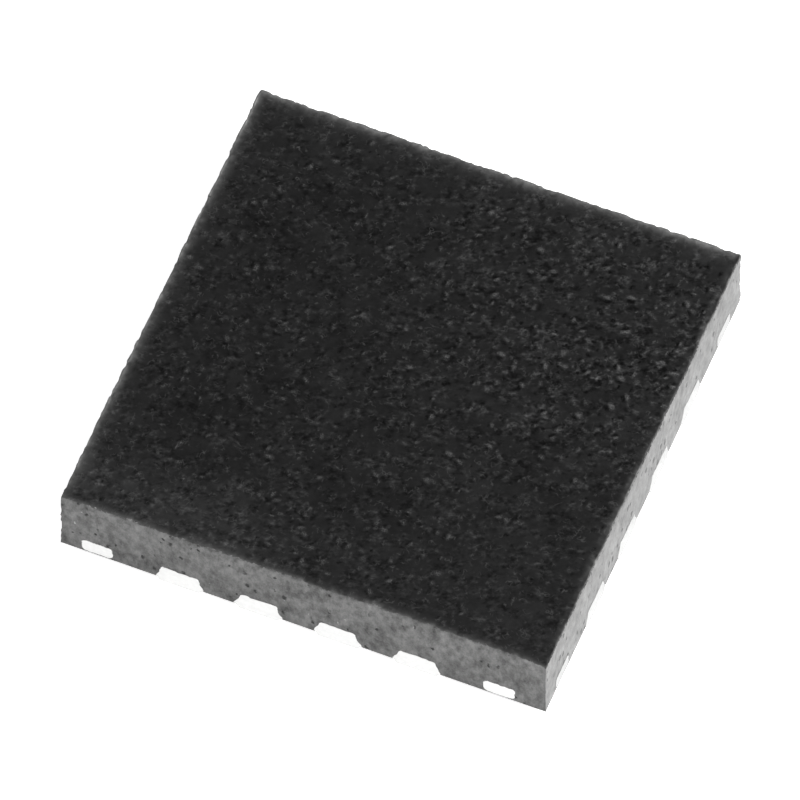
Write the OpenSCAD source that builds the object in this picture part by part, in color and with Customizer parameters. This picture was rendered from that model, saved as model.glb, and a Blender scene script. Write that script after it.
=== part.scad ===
// Quad flat no-lead chip package, sawn out of a moulded strip: an etched leadframe, a die glued to
// its paddle, a bond wire from the die to each lead, and a mould body cast round all of them.
// Millimetres, +Z up, origin on the board's surface under the middle of the body.

/* [Body] */
// Length of the mould body along X
body_x = 3.07; // [2.9:0.01:3.5]
// Length of the mould body along Y
body_y = 3.07; // [2.9:0.01:3.5]
// Height of the mould body
body_h = 0.514; // [0.48:0.002:0.9]
// How far the lands stand proud of the mould body's underside
standoff = 0.03; // [0.01:0.005:0.035]

/* [Leadframe] */
// Thickness of the plated leadframe
frame_t = 0.154; // [0.13:0.001:0.18]
// Thickness left where the leadframe is etched away from below
etched_t = 0.08; // [0.06:0.005:0.1]
// Offset of the leadframe from the middle of the saw lines, along X
frame_x = -0.031; // [-0.05:0.001:0.05]
// Offset of the leadframe from the middle of the saw lines, along Y
frame_y = -0.009; // [-0.05:0.001:0.05]

/* [Leads] */
// Leads on each side of the body
leads_per_side = 4; // [2:1:4]
// Distance between neighbouring leads
pitch = 0.5; // [0.4:0.01:0.56]
// Width of a lead's land on the board
land_w = 0.25; // [0.18:0.01:0.29]
// Width of a lead at the ridge that etching from both sides leaves
ridge_w = 0.306; // [0.296:0.002:0.34]
// Height of that ridge above the board
ridge_z = 0.046; // [0.02:0.002:0.06]
// Width of a lead's top
lead_top_w = 0.232; // [0.18:0.002:0.28]
// Bevel along the etched top edges of a lead
lead_bevel = 0.012; // [0.008:0.001:0.025]
// How hollow the etched flank between them is, where 1 is straight
flank_bend = 1.5; // [1:0.05:2]
// Length of a lead's land, from the sawn face inwards
land_l = 0.4; // [0.32:0.01:0.46]
// Length of the etched tip that carries on inwards over the land's end
tip_l = 0.08; // [0.04:0.01:0.12]

/* [Exposed pad] */
// Clearance from the paddle's rim to the tips of the leads
paddle_gap = 0.14; // [0.1:0.01:0.2]
// How far the etched rim of the paddle stands out over the exposed pad
rim_w = 0.1; // [0.05:0.01:0.15]
// Corner radius of the exposed pad and of the paddle's rim
pad_corner_r = 0.06; // [0.03:0.01:0.08]
// Chamfer on the exposed pad's corner beside the first lead
pad_chamfer = 0.26; // [0.15:0.01:0.35]

/* [Tie bars] */
// Thickness of a tie bar
tie_t = 0.113; // [0.1:0.001:0.125]
// Width of the diagonal part of a tie bar
tie_w = 0.13; // [0.08:0.01:0.16]
// Width of the tie bar ends that show in the sawn faces
tie_end_w = 0.2; // [0.16:0.01:0.22]
// Radius of the lower corners of the tie bar ends, where the etch came from below
tie_low_r = 0.042; // [0.03:0.002:0.06]
// Radius of the upper corners of the tie bar ends
tie_top_r = 0.026; // [0.01:0.002:0.034]
// Distance from a tie bar end's middle to the body's corner
tie_inset = 0.264; // [0.2:0.002:0.28]

/* [Die] */
// Length of the die along X
die_x = 1.24; // [1:0.01:1.35]
// Length of the die along Y
die_y = 1.24; // [1:0.01:1.35]
// Thickness of the die
die_t = 0.15; // [0.1:0.01:0.17]
// Thickness of the adhesive under the die
glue_t = 0.02; // [0.01:0.002:0.03]
// How far the adhesive spreads past the die's edge
glue_spread = 0.05; // [0.02:0.01:0.08]

/* [Bond wires] */
// Diameter of a bond wire
wire_d = 0.025; // [0.018:0.001:0.03]
// Diameter of the ball that bonds a wire to the die
ball_d = 0.056; // [0.05:0.002:0.07]
// Height of that ball
ball_h = 0.012; // [0.008:0.001:0.016]
// Distance from a ball's middle to the die's edge
ball_inset = 0.06; // [0.05:0.005:0.1]
// Distance from the end balls of a row to the die's corners
row_inset = 0.2; // [0.15:0.01:0.3]
// Height of the wire's arch above its ball
arch_h = 0.136; // [0.1:0.004:0.15]
// Length of wire pressed flat onto a lead
stitch_l = 0.045; // [0.03:0.005:0.06]
// Distance from a wire's end to the lead's tip
stitch_inset = 0.09; // [0.07:0.005:0.12]

/* [Hidden] */
$fn = 48;
SIDES = 4;
FLANK_STEPS = 4;
WIRE_FACETS = 8;
WIRE_STEPS = 9;

lead_count = SIDES * leads_per_side;
body_top = standoff + body_h;
die_bottom = frame_t + glue_t;
die_top = die_bottom + die_t;
frame_offset = [frame_x, frame_y];

// The paddle fills what the leads and their clearance leave free.
lead_reach = land_l + tip_l;
rim_x = body_x - 2 * (lead_reach + paddle_gap);
rim_y = body_y - 2 * (lead_reach + paddle_gap);
pad_x = rim_x - 2 * rim_w;
pad_y = rim_y - 2 * rim_w;

// Leads are numbered counter-clockwise seen from above, from the back end of the left side.
function two_digits(n) = str(n < 10 ? "0" : "", n);
function lead_name(pin) = str("lead_", two_digits(pin));
function wire_name(pin) = str("bond_wire_", two_digits(pin));
function side_of(pin) = floor((pin - 1) / leads_per_side);
function turn_of(side) = 90 * (side - 1);

// Within a side's own frame, its face looks along -Y and its leads count up along +X.
function seen_from(side, v) =
    let (c = cos(turn_of(side)), s = sin(turn_of(side)))
    [v.x * c + v.y * s, v.y * c - v.x * s];
function face_distance(side) = (side % 2 == 0 ? body_x : body_y) / 2;
function die_half(side) = (side % 2 == 0 ? die_x : die_y) / 2;
function row_half(side) = (side % 2 == 0 ? die_y : die_x) / 2 - row_inset;
function slot_of(pin) = (pin - 1) % leads_per_side - (leads_per_side - 1) / 2;
function lead_at(pin) = seen_from(side_of(pin), frame_offset).x + slot_of(pin) * pitch;
function land_end(side) = seen_from(side, frame_offset).y - face_distance(side) + land_l;

// Where a pin's ball sits on the die, and where its wire ends on the lead, in the side's frame.
function ball_at(pin) =
    let (side = side_of(pin), step = 2 * row_half(side) / (leads_per_side - 1))
    seen_from(side, frame_offset) + [slot_of(pin) * step, ball_inset - die_half(side)];
function stitch_at(pin) = [lead_at(pin), land_end(side_of(pin)) + tip_l - stitch_inset];

module on_side(side) {
    rotate(turn_of(side)) children();
}

module on_leadframe() {
    translate(frame_offset) children();
}

// Runs an upright XZ profile from one Y to a higher one.
module run_y(from, to) {
    translate([0, to, 0]) rotate([90, 0, 0]) linear_extrude(to - from) children();
}

// Point on a lead's hollow flank, from its bevel at t = 0 down to its ridge at t = 1.
function flank(t) =
    let (bevel_z = frame_t - lead_bevel)
    [
        lead_top_w / 2 + (ridge_w - lead_top_w) / 2 * pow(t, flank_bend),
        bevel_z + (ridge_z - bevel_z) * t
    ];

// One half of a lead's section: land, etched ridge, hollow flank and bevelled top edge.
module lead_half_section() {
    polygon(concat(
        [[0, 0], [land_w / 2, 0]],
        [for (i = [FLANK_STEPS:-1:0]) flank(i / FLANK_STEPS)],
        [[lead_top_w / 2 - lead_bevel, frame_t], [0, frame_t]]
    ));
}

module lead_section() {
    lead_half_section();
    mirror([1, 0]) lead_half_section();
}

// A lead: a bar of that section with a round inner end, and a thin etched tip above it.
module lead_shape(pin) {
    side = side_of(pin);
    round_at = land_end(side) - ridge_w / 2;
    tip_w = lead_top_w - 2 * lead_bevel;
    on_side(side) translate([lead_at(pin), 0, 0]) {
        run_y(-face_distance(side), round_at) lead_section();
        translate([0, round_at, 0]) rotate_extrude(angle = 180) lead_half_section();
        translate([0, 0, frame_t - etched_t]) linear_extrude(etched_t) {
            translate([-tip_w / 2, round_at]) square([tip_w, land_end(side) + tip_l - tip_w / 2 - round_at]);
            translate([0, land_end(side) + tip_l - tip_w / 2]) circle(d = tip_w);
        }
    }
}

module rounded_rectangle(x, y, r) {
    square([x - 2 * r, y], center = true);
    square([x, y - 2 * r], center = true);
    for (sx = [-1, 1], sy = [-1, 1])
        translate([sx * (x / 2 - r), sy * (y / 2 - r)]) circle(r);
}

// The exposed pad's outline: its corner by the first lead is cut off as the orientation mark.
module pad_outline() {
    difference() {
        rounded_rectangle(pad_x, pad_y, pad_corner_r);
        translate([-pad_x / 2, pad_y / 2]) rotate(45) square(pad_chamfer * sqrt(2), center = true);
    }
}

// Tie bar of one corner: a diagonal from the paddle to a knot, and two ends from there to the saw lines.
module tie_bar(sx, sy) {
    knot = [sx * (body_x / 2 - tie_inset), sy * (body_y / 2 - tie_inset)];
    heading = atan2(knot.y, knot.x);
    root = norm([rim_x, rim_y]) / 2 - tie_w - pad_corner_r;
    translate([0, 0, frame_t - tie_t]) {
        rotate(heading) translate([root, -tie_w / 2, 0]) cube([norm(knot) - root, tie_w, tie_t]);
        translate([knot.x - tie_end_w / 2, knot.y - tie_end_w / 2, 0]) cube([tie_end_w, tie_end_w, tie_t]);
    }
}

// A bar's section with its foot on the X axis, rounded more below than above.
module tie_end_section() {
    translate([0, frame_t - tie_t]) {
        translate([-tie_end_w / 2, tie_low_r]) square([tie_end_w, tie_t - tie_low_r - tie_top_r]);
        translate([tie_low_r - tie_end_w / 2, 0]) square([tie_end_w - 2 * tie_low_r, tie_t]);
        translate([tie_top_r - tie_end_w / 2, tie_low_r]) square([tie_end_w - 2 * tie_top_r, tie_t - tie_low_r]);
        for (end = [-1, 1]) {
            translate([end * (tie_end_w / 2 - tie_low_r), tie_low_r]) circle(tie_low_r);
            translate([end * (tie_end_w / 2 - tie_top_r), tie_t - tie_top_r]) circle(tie_top_r);
        }
    }
}

// The two tie bar ends that show in one sawn face.
module tie_ends(side) {
    across = face_distance(side + 1) - tie_inset;
    offset_here = seen_from(side, frame_offset);
    knot_y = offset_here.y - face_distance(side) + tie_inset;
    on_side(side)
        for (end = [-1, 1])
            translate([offset_here.x + end * across, 0, 0])
                run_y(-face_distance(side), knot_y - tie_end_w / 2) tie_end_section();
}

// Exposed pad, etched rim and tie bars are one etched piece.
module paddle_shape() {
    on_leadframe() {
        linear_extrude(frame_t) pad_outline();
        translate([0, 0, frame_t - etched_t]) linear_extrude(etched_t)
            rounded_rectangle(rim_x, rim_y, pad_corner_r);
        for (sx = [-1, 1], sy = [-1, 1]) tie_bar(sx, sy);
    }
    for (side = [0:SIDES - 1]) tie_ends(side);
}

module adhesive_shape() {
    on_leadframe() translate([0, 0, frame_t + glue_t / 2])
        cube([die_x + 2 * glue_spread, die_y + 2 * glue_spread, glue_t], center = true);
}

module die_shape() {
    on_leadframe() translate([0, 0, die_bottom + die_t / 2]) cube([die_x, die_y, die_t], center = true);
}

// Point at t on the cubic curve of four control points.
function cubic(p, t) =
    pow(1 - t, 3) * p[0] + 3 * t * pow(1 - t, 2) * p[1] + 3 * t * t * (1 - t) * p[2] + pow(t, 3) * p[3];

// A wire's centre line in its own upright plane, as [distance from the ball, height]: straight up
// out of the ball, over the arch, down to the lead and then flat along it.
function wire_line(span) =
    let (
        start = die_top + ball_h,
        crest = start + arch_h,
        rest = frame_t + wire_d / 2,
        touch = span - stitch_l,
        arch = [[0, start], [0, crest], [touch / 2, crest], [touch, rest]]
    )
    concat([for (i = [0:WIRE_STEPS]) cubic(arch, i / WIRE_STEPS)], [[span, rest]]);

function unit(v) = v / norm(v);

// In-plane mitre vector at point i: square to the line, and longer where the line bends.
function mitre(line, i) =
    let (
        last = len(line) - 1,
        before = i == 0 ? [0, 1] : unit(line[i] - line[i - 1]),
        after = i == last ? before : unit(line[i + 1] - line[i]),
        along = unit(before + after)
    )
    [-along.y, along.x] / (along * after);

// Tube swept along a planar line, with flat facets above and below.
module wire_tube(line) {
    n = WIRE_FACETS;
    last = len(line) - 1;
    corner = [for (k = [0:n - 1]) let (a = 360 * (k + 0.5) / n) wire_d / 2 / cos(180 / n) * [cos(a), sin(a)]];
    points = [
        for (i = [0:last], k = [0:n - 1])
            let (p = line[i] + corner[k].y * mitre(line, i))
            [p.x, corner[k].x, p.y]
    ];
    walls = [
        for (i = [0:last - 1], k = [0:n - 1])
            let (next = (k + 1) % n)
            [i * n + k, (i + 1) * n + k, (i + 1) * n + next, i * n + next]
    ];
    first_cap = [for (k = [0:n - 1]) k];
    last_cap = [for (k = [n - 1:-1:0]) last * n + k];
    polyhedron(points, concat(walls, [first_cap, last_cap]));
}

// A bond wire: the ball on the die, the arched tube, and the stitch on its lead.
module wire_shape(pin) {
    reach = stitch_at(pin) - ball_at(pin);
    on_side(side_of(pin)) translate(ball_at(pin)) rotate(atan2(reach.y, reach.x)) {
        translate([0, 0, die_top]) rotate(180 / WIRE_FACETS) cylinder(d = ball_d, h = ball_h, $fn = WIRE_FACETS);
        wire_tube(wire_line(norm(reach)));
    }
}

module lead(pin) {
    color("gainsboro") lead_shape(pin);
}

module die_paddle() {
    color("gainsboro") paddle_shape();
}

module die_adhesive() {
    color("darkgray") adhesive_shape();
}

module die() {
    color("slategray") die_shape();
}

module bond_wire(pin) {
    color("gold") wire_shape(pin);
}

// The mould body takes its cavities from the very pieces that it is cast round.
module mould_body() {
    color("dimgray") difference() {
        translate([-body_x / 2, -body_y / 2, standoff]) cube([body_x, body_y, body_h]);
        for (pin = [1:lead_count]) lead_shape(pin);
        paddle_shape();
        adhesive_shape();
        die_shape();
        for (pin = [1:lead_count]) wire_shape(pin);
    }
}

mould_body();
die_paddle();
die_adhesive();
die();
for (pin = [1:lead_count]) {
    lead(pin);
    bond_wire(pin);
}
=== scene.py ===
"""Dresses a quad flat no-lead chip: its moulded and sawn body, plated leads, inner pieces and studio."""

import math

import bpy
import numpy as np
from mathutils import Matrix, Vector


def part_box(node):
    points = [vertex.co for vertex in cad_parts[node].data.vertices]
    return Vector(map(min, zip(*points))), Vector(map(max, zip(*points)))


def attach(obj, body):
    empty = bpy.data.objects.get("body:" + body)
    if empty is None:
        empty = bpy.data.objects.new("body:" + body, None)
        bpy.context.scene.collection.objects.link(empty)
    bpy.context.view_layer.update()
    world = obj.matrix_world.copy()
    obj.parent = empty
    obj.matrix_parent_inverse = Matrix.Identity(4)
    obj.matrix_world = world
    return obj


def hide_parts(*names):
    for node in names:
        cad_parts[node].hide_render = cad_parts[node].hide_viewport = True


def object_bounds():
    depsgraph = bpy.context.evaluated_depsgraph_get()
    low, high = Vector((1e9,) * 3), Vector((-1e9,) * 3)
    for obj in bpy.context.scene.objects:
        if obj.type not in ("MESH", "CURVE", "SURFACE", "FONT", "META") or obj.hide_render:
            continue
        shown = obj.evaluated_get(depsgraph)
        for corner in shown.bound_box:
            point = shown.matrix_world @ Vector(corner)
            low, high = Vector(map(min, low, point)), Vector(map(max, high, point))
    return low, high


bl_info = {
    "name": "Quad flat no-lead chip",
    "version": (1, 0, 0),
    "blender": (4, 5, 0),
    "location": "View3D > Sidebar > Chip",
    "description": "Builds the visible pieces and finishes of a sawn, moulded chip package",
    "category": "Object",
}

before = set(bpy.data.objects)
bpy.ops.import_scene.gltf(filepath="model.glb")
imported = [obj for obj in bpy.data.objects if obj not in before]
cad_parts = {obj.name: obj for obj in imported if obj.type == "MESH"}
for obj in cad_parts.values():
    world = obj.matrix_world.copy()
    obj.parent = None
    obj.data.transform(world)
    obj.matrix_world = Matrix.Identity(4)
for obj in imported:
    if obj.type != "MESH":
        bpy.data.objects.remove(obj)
CAD_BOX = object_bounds()
MM = 0.001

LEADS = sorted(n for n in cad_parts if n.startswith("lead_"))
WIRES = sorted(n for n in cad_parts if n.startswith("bond_wire_"))
ROW = len(LEADS) // 4

# How squarely a point faces out along an axis when it starts to count as that face's, and when it fully does
FACING = (0.75, 0.98)
# Turn of the mould body's noises off its own axes
SKEW = 0.55
# Share of the grains' height that the moulded plane leaves them under the CAD's top
GRAIN_ROOM = 0.6
# Noises summed about 0, as (size of a cell, weight, seed)
SHORT_BUMPS = ((0.042 * MM, 0.65, 13), (0.025 * MM, 0.35, 15))
TORN_LINE = ((0.120 * MM, 0.9, 47), (0.048 * MM, 0.8, 48), (0.026 * MM, 0.5, 49))
# Noises that chip the edges, as (size of a cell, weight, where a chip starts, where it is full, seed)
CHIPS = ((0.120 * MM, 0.7, 0.42, 0.80, 41), (0.048 * MM, 0.8, 0.48, 0.82, 43), (0.024 * MM, 0.9, 0.50, 0.80, 45))
# Share of the chips' depth that the bevels are raised by, so that the edges keep their place
CHIP_MEAN = 0.9
# Width and strength of the painted sheen where the top edges catch the bright surround: left, front, right, back
SHEEN_WIDTHS = np.array([1.0, 0.75, 0.42, 1.10])
SHEEN_STRENGTHS = np.array([0.92, 0.46, 1.6, 1.04])
# Rings of points that run in under the mould body, in radii of its edge
UNDER_RINGS = np.array([0.35, 0.7, 1.0, 1.6, 3.0])
# Steps across a lead's sawn end, along a flank and round its inner end, and the power that crowds those of the flank
LEAD_ACROSS, LEAD_ALONG, LEAD_ROUND, LEAD_CROWD = 40, 14, 20, 1.8
# Roughness of resin that the saw has cut or dragged
SAWN_ROUGHNESS = 0.82
FLOOR_HALF = 0.6


# Settings


def length(name, description, default):
    """A length setting in metres."""
    return bpy.props.FloatProperty(
        name=name, description=description, default=default, min=0.0, max=1.0, precision=7, unit="LENGTH"
    )


def amount(name, description, default, low=0.0, high=10.0):
    """A plain number setting."""
    return bpy.props.FloatProperty(name=name, description=description, default=default, min=low, max=high)


def colour(name, description, default):
    """A colour setting, in linear light."""
    return bpy.props.FloatVectorProperty(
        name=name, description=description, default=default, size=3, min=0.0, max=1.0, subtype="COLOR"
    )


def turn(name, description, degrees):
    """An angle setting."""
    return bpy.props.FloatProperty(
        name=name, description=description, default=math.radians(degrees), subtype="ANGLE", unit="ROTATION"
    )


class MouldSettings(bpy.types.PropertyGroup):
    """Sizes and colours of the mould body."""

    step: length("Mesh step", "Distance between neighbouring points across the skin", 0.0124 * MM)
    step_up: length("Mesh step upwards", "Distance between neighbouring points up the sides", 0.030 * MM)
    edge_radius: length("Edge radius", "Rounding left along the top edges", 0.017 * MM)
    foot_radius: length("Foot radius", "Rounding left along the bottom edges", 0.005 * MM)
    roll_depth: length("Roll-off depth", "How far the moulded top sinks towards its edges", 0.002 * MM)
    roll_width: length("Roll-off width", "How far in from the edges that sinking reaches", 0.030 * MM)
    # Painted sheen: how far in from the edges the moulded top is painted paler, as its rims catch the bright surround
    sheen_width: length("Painted sheen width", "How far in from the edges the moulded top is rubbed pale", 0.020 * MM)
    inset: length("Side inset", "How far the sawn resin lies behind the lead ends", 0.001 * MM)
    swell_size: length("Swell size", "Distance between the low swells of the moulded top", 0.110 * MM)
    swell_height: length("Swell height", "Height of those swells", 0.0016 * MM)
    rough_height: length("Roughness height", "Height of the short bumps of the moulded top", 0.0034 * MM)
    nib_height: length("Nib height", "Height of the filler grains that stand out of the moulded top", 0.0040 * MM)
    pit_depth: length("Pit depth", "Depth of the pits between those grains", 0.0044 * MM)
    chip_depth: length("Chip depth", "Depth of the chips that the saw leaves along the edges", 0.0075 * MM)
    chip_reach: length("Chip reach", "How far in from the edges those chips reach", 0.016 * MM)
    tear: length("Tear width", "How far the line wanders where the saw broke through the moulded skin", 0.021 * MM)
    tear_inset: length("Tear inset", "How far in from the edges that line lies", 0.006 * MM)
    tear_right: length("Tear shift", "How far further out that line lies on the right", 0.022 * MM)
    tear_blend: length("Tear blend", "Width over which moulded skin gives way to sawn resin", 0.040 * MM)
    tear_blend_right: length("Tear blend, right", "How much wider that is on the right", 0.028 * MM)
    saw_wave: length("Saw waviness", "Height of the waves on the sawn sides", 0.0012 * MM)
    saw_wave_size: length("Saw wave size", "Distance between those waves", 0.090 * MM)
    resin: colour("Moulded resin", "Colour of the resin's moulded skin", (0.0152, 0.0152, 0.0153))
    resin_spread: amount("Resin spread", "How far the skin's shades spread, as powers of e", 4.4)
    # Painted shade: dark colour painted inside the pits of the moulded skin and in the hollows beside its larger
    # grains
    pit_shade: colour("Pits", "Colour inside the pits of that skin", (0.0028, 0.0028, 0.0028))
    # Partly painted highlight: the filler grains' pale colour also stands in for their glints
    fleck_and_glint: colour("Flecks", "Colour of the filler grains that show through that skin", (0.118, 0.118, 0.118))
    # Painted sheen: paler colour painted on the moulded skin along its top edges, where the rims catch the bright
    # surround
    sheen_painted: colour("Painted rim sheen", "Colour of the moulded skin where its edges are rubbed", (0.220, 0.220, 0.218))
    sawn: colour("Sawn resin", "Colour of the resin where the saw has cut it", (0.150, 0.150, 0.149))
    sawn_dark: colour("Torn pits", "Colour of the pits that torn out grains leave", (0.032, 0.032, 0.032))
    sawn_pale: colour("Cut grains", "Colour of the filler grains that the saw has cut", (0.40, 0.40, 0.396))


class LeadSettings(bpy.types.PropertyGroup):
    """Section of the leads and the smearing of their sawn ends."""

    land: length("Land width", "Width of a lead's land", 0.250 * MM)
    ridge: length("Ridge width", "Width at the ridge that etching leaves", 0.306 * MM)
    ridge_height: length("Ridge height", "Height of that ridge above the land", 0.046 * MM)
    top: length("Top width", "Width under the bevelled top edges", 0.232 * MM)
    bevel: length("Bevel", "Size of those bevels", 0.012 * MM)
    hollow: amount("Hollow", "How hollow the flank is, where 1 is straight", 1.5)
    tip: length("Tip", "Length of the etched tip past the land", 0.080 * MM)
    tip_height: length("Tip height", "Height of the tip's underside", 0.074 * MM)
    tip_blend: length("Tip blend", "Height over which the round end runs out to that tip", 0.004 * MM)
    foot: length("Foot radius", "Rounding of the plated land's edges", 0.006 * MM)
    smear: length("Smear", "How far the saw drags the outline of the sawn end about", 0.015 * MM)
    smear_depth: length("Smear depth", "How far in from the sawn end that reaches", 0.010 * MM)


class MetalSettings(bpy.types.PropertyGroup):
    """Colours of the leadframe and of the pieces sealed inside."""

    plating: colour("Plating", "Colour of the plated lands", (0.86, 0.86, 0.85))
    sawn_metal: colour("Sawn metal", "Colour of the sawn ends", (0.715, 0.715, 0.711))
    silicon: colour("Silicon", "Colour of the die", (0.10, 0.11, 0.13))
    adhesive: colour("Adhesive", "Colour of the silver filled adhesive", (0.42, 0.42, 0.41))
    gold: colour("Gold", "Colour of the bond wires", (0.95, 0.62, 0.22))
    tie_width: length("Tie bar width", "Width of the tie bar ends in the sawn sides", 0.200 * MM)
    tie_thickness: length("Tie bar thickness", "Height of the tie bar ends", 0.113 * MM)
    tie_inset: length("Tie bar inset", "From the middle of a tie bar end to the leadframe's corner", 0.264 * MM)
    dragged_resin: colour("Dragged resin", "Colour of the resin that the saw drags over them", (0.135, 0.135, 0.134))
    tie_smear: length("Tie bar smear", "How far the saw drags resin over the tie bar ends", 0.030 * MM)


class StageSettings(bpy.types.PropertyGroup):
    """Camera, light and floor."""

    azimuth: turn("Azimuth", "Camera's angle round the chip, from straight in front", 22.245)
    elevation: turn("Elevation", "Camera's angle above the floor", 58.118)
    distance: length("Distance", "From the camera to the point that it looks at", 117.546 * MM)
    lens: amount("Lens", "Focal length in millimetres, for a 36 mm wide sensor", 900.0, 1.0, 5000.0)
    aim: bpy.props.FloatVectorProperty(
        name="Aim", description="Point that the camera looks at", size=3, unit="LENGTH",
        default=(-0.0063 * MM, -0.0145 * MM, 0.2803 * MM),
    )
    floor: colour("Floor", "Colour of the floor", (0.86, 0.86, 0.86))
    floor_glow: amount("Floor glow", "Light that the floor gives off, as a light table does", 0.78)
    key_power: amount("Key power", "Power of the soft light on the right, in watts", 0.060)
    key_azimuth: turn("Key azimuth", "That light's angle round the chip, from straight in front", 93.0)
    key_elevation: turn("Key elevation", "That light's angle above the floor", 24.0)
    key_distance: length("Key distance", "From that light to the chip", 60 * MM)
    key_size: length("Key size", "Length of that light's sides", 35 * MM)
    sky_low: amount("Low sky", "Strength of the surround near the horizon", 1.10)
    sky_high: amount("High sky", "Strength of the surround overhead", 0.17)


# Numbers spread over a surface


def scatter(*cells, seed):
    """Repeatable random numbers in 0 to 1, one for each whole-numbered cell: the cell's coordinates times
    large odd numbers, mixed by shifts and another multiplication."""
    mixed = np.full(cells[0].shape, (seed * 2246822519) % 2**32, dtype=np.uint32)
    for cell, factor in zip(cells, (374761393, 668265263, 2147483647)):
        mixed = mixed + (cell.astype(np.int64) & 0xFFFFFFFF).astype(np.uint32) * np.uint32(factor)
    mixed = (mixed ^ (mixed >> np.uint32(13))) * np.uint32(1274126177)
    mixed = (mixed ^ (mixed >> np.uint32(15))) * np.uint32(2246822519)
    return (mixed ^ (mixed >> np.uint32(16))) / 2.0**32


def drift(points, cell, seed):
    """Smooth noise in 0 to 1: random numbers on the corners of cubes of size `cell`, blended between corners
    by 3t^2 - 2t^3 along each axis."""
    p = points / cell
    base = np.floor(p).astype(np.int64)
    t = p - base
    t = t * t * (3 - 2 * t)
    total = np.zeros(p.shape[:-1])
    for corner in np.ndindex(2, 2, 2):
        weight = np.prod(np.where(np.array(corner) == 1, t, 1 - t), axis=-1)
        total += weight * scatter(*np.moveaxis(base + np.array(corner), -1, 0), seed=seed)
    return total


def layered(points, layers):
    """Sum of noises about 0, each given as (size of a cell, weight, seed)."""
    return sum(weight * (drift(points, cell, seed) - 0.5) for cell, weight, seed in layers)


def grains(x, y, cell, share, long, wide, seed):
    """Scattered oval grains: the highest of strength * e^-(u^2 + v^2) over grains that lie one to a square cell at
    most, where u and v are distances along and across a grain, over its length and width. Each grain has a random
    middle, heading, size and strength, and is there with the chance `share`. Also gives the same for the hollows
    beside the stronger grains, at v - 1.5."""
    ix, iy = np.floor(x / cell).astype(np.int64), np.floor(y / cell).astype(np.int64)
    highest, beside = np.zeros(x.shape), np.zeros(x.shape)
    for dx, dy in np.ndindex(3, 3):
        at = (ix + dx - 1, iy + dy - 1)
        across, up, heading, size, strength, chance = (scatter(*at, seed=seed + k) for k in range(6))
        px, py = x - cell * (at[0] + across), y - cell * (at[1] + up)
        c, d = np.cos(np.pi * heading), np.sin(np.pi * heading)
        size = 0.65 + 0.7 * size
        u, v = (px * c + py * d) / (long * size), (py * c - px * d) / (wide * size)
        strength = (chance < share) * (0.2 + 0.8 * strength**1.5)
        highest = np.maximum(highest, strength * np.exp(-u * u - v * v))
        beside = np.maximum(beside, (strength > 0.4) * strength * np.exp(-u * u - (v - 1.5) ** 2))
    return highest, beside


def ease(low, high, value):
    """0 below `low`, 1 above `high`, and 3t^2 - 2t^3 between them."""
    t = np.clip((value - low) / (high - low), 0, 1)
    return t * t * (3 - 2 * t)


# Meshes


def new_object(name, data):
    """A new object in the scene."""
    made = bpy.data.objects.new(name, data)
    bpy.context.collection.objects.link(made)
    return made


def new_piece(name, vertices, faces, replaced, material, flat=()):
    """A mesh object that stands for the CAD nodes it replaces, smooth but for the faces listed in `flat`."""
    mesh = bpy.data.meshes.new(name)
    mesh.from_pydata(vertices, [], faces)
    smooth = np.ones(len(mesh.polygons), dtype=bool)
    smooth[list(flat)] = False
    mesh.polygons.foreach_set("use_smooth", smooth)
    if mesh.validate():
        raise RuntimeError(f"{name} has faces that Blender had to mend")
    mesh.materials.append(material)
    piece = new_object(name, mesh)
    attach(piece, "root")
    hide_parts(*replaced)
    return piece


def ruler(low, high, radius, step, bend=4):
    """Stations from low to high: even ones inside each rounded edge, then even steps across the middle."""
    edge = np.linspace(0, radius, bend + 1)[:-1]
    count = max(1, int(round((high - low - 2 * radius) / step)))
    middle = np.linspace(low + radius, high - radius, count + 1)
    return np.concatenate([low + edge, middle, (high - edge)[::-1]])


def ladder(lower, upper):
    """Faces between closed rings of points and the rings above them."""
    rungs = [lower, np.roll(lower, -1, 1), np.roll(upper, -1, 1), upper]
    return np.stack(rungs, -1).reshape(-1, 4).tolist()


def box_skin(low, high, radius, steps):
    """A closed box as one top grid and a ladder of rings: the top's rim, rings down the sides, and rings that
    run in under the box to one flat closing face. Gives points on the sharp box and the faces."""
    xs, ys, zs = (ruler(low[k], high[k], radius, steps[k]) for k in range(3))
    nx, ny = len(xs), len(ys)
    top = np.stack(np.broadcast_arrays(xs[:, None], ys[None, :], high[2]), -1).reshape(-1, 3)
    at = np.arange(nx * ny).reshape(nx, ny)
    rim = np.concatenate([at[:-1, 0], at[-1, :-1], at[:0:-1, -1], at[0, :0:-1]])
    walls = np.repeat(top[rim][None], len(zs) - 1, axis=0)
    walls[..., 2] = zs[-2::-1, None]
    inwards = UNDER_RINGS * radius
    half = (high - low)[:2] / 2
    centre = (high + low)[:2] / 2
    under = np.repeat(walls[-1][None], len(inwards), axis=0)
    under[..., :2] = centre + (under[..., :2] - centre) * (1 - inwards[:, None, None] / half)
    points = np.concatenate([top, walls.reshape(-1, 3), under.reshape(-1, 3)])
    rings = np.concatenate([
        rim[None], nx * ny + np.arange((len(walls) + len(under)) * len(rim)).reshape(-1, len(rim))
    ])
    lid = np.stack([at[:-1, :-1], at[1:, :-1], at[1:, 1:], at[:-1, 1:]], -1).reshape(-1, 4)
    return points, lid.tolist() + ladder(rings[1:], rings[:-1]) + [rings[-1][::-1].tolist()]


def rounded(points, low, high, foot_radius, edge_radius):
    """Points of a sharp box moved onto the rounded one: each is set a radius away from the nearest point of the
    box shrunk by that radius, which grows evenly from the foot to the top. Gives the new points and their
    outward directions."""
    rise = (points[:, 2:] - low[2]) / (high[2] - low[2])
    radius = foot_radius + (edge_radius - foot_radius) * rise
    nearest = np.clip(points, low + radius, high - radius)
    out = points - nearest
    out /= np.linalg.norm(out, axis=-1, keepdims=True)
    return nearest + radius * out, out


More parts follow.
